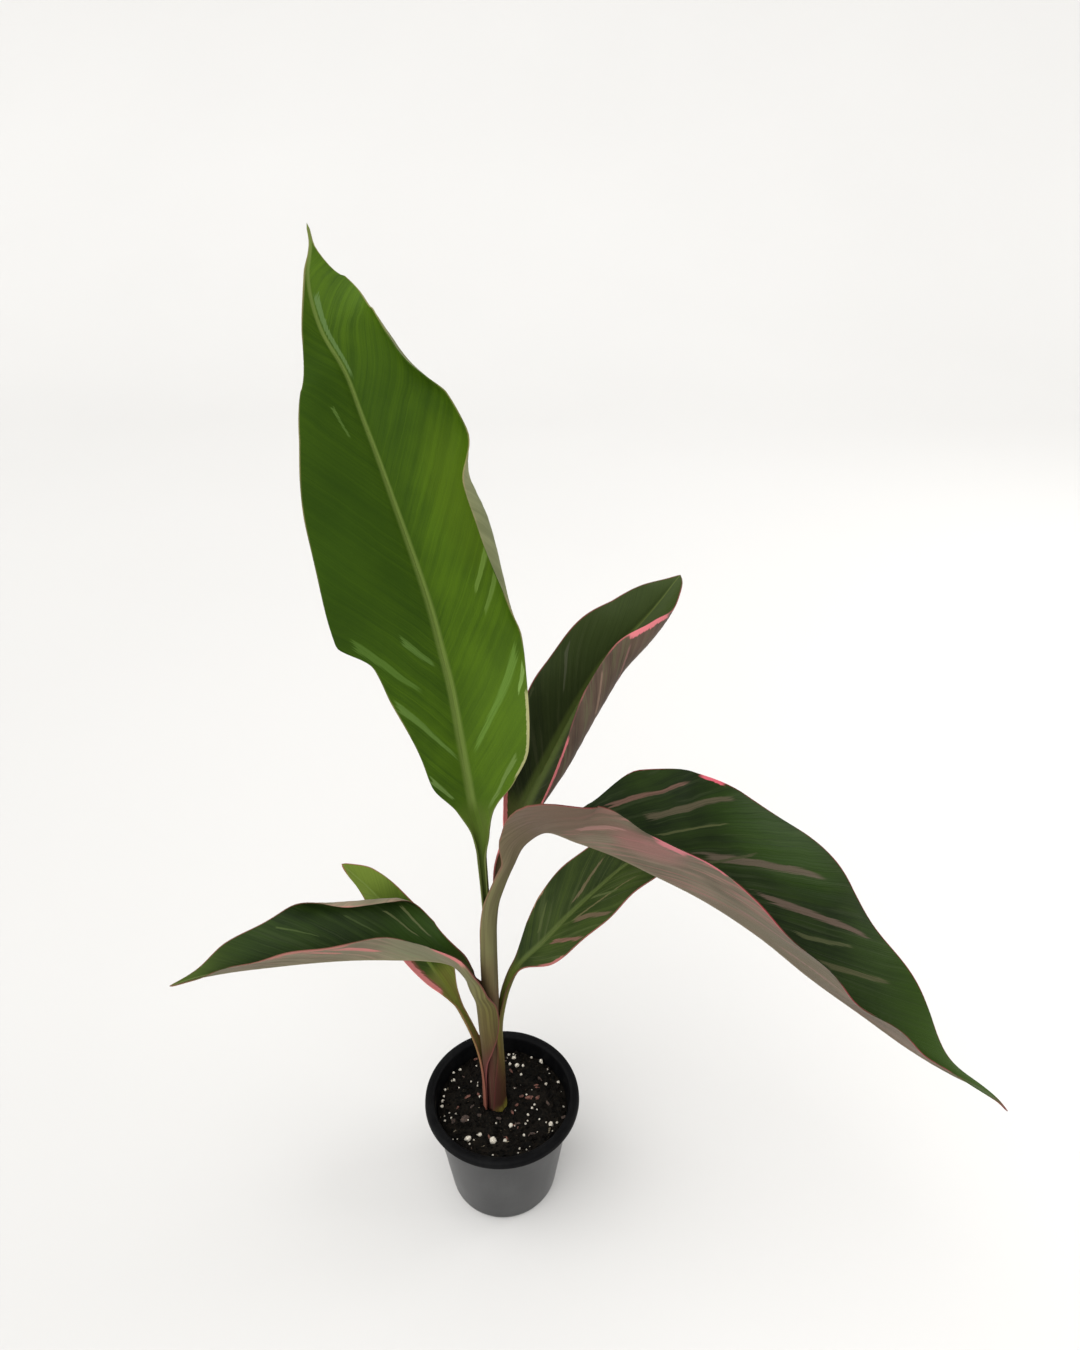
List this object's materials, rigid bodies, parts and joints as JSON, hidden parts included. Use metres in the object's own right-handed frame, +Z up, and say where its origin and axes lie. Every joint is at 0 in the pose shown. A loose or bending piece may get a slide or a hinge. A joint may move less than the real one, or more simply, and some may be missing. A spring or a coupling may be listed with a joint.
{
  "type": "potted banana plant",
  "caption": "Young banana plant with broad, partly variegated leaves on a short sheathed stem, growing in a round plastic nursery pot of dark soil.",
  "frame": {"origin": "middle of the pot's underside, on the surface it stands on", "axes": "+Z up along the pot's axis; the large arching leaf hangs towards +X, and the upright leaf's upper face looks towards -Y"},
  "size_m": [0.525, 0.1842, 0.618],
  "materials": {
    "pot_plastic": "satin black moulded plastic",
    "potting_soil": "matt and crumbly",
    "corm_flesh": "matt",
    "upright_leaf": "satin",
    "dark_leaf": "satin",
    "lower_leaf": "satin",
    "small_leaf": "satin"
  },
  "bodies": {
    "root": {"pot": "pot_plastic", "soil": "potting_soil", "corm": "corm_flesh", "leaf_upright": "upright_leaf", "leaf_back": "dark_leaf", "leaf_arching": "dark_leaf", "leaf_low_right": "lower_leaf", "leaf_left": "lower_leaf", "leaf_small": "small_leaf"}
  },
  "joints": []
}
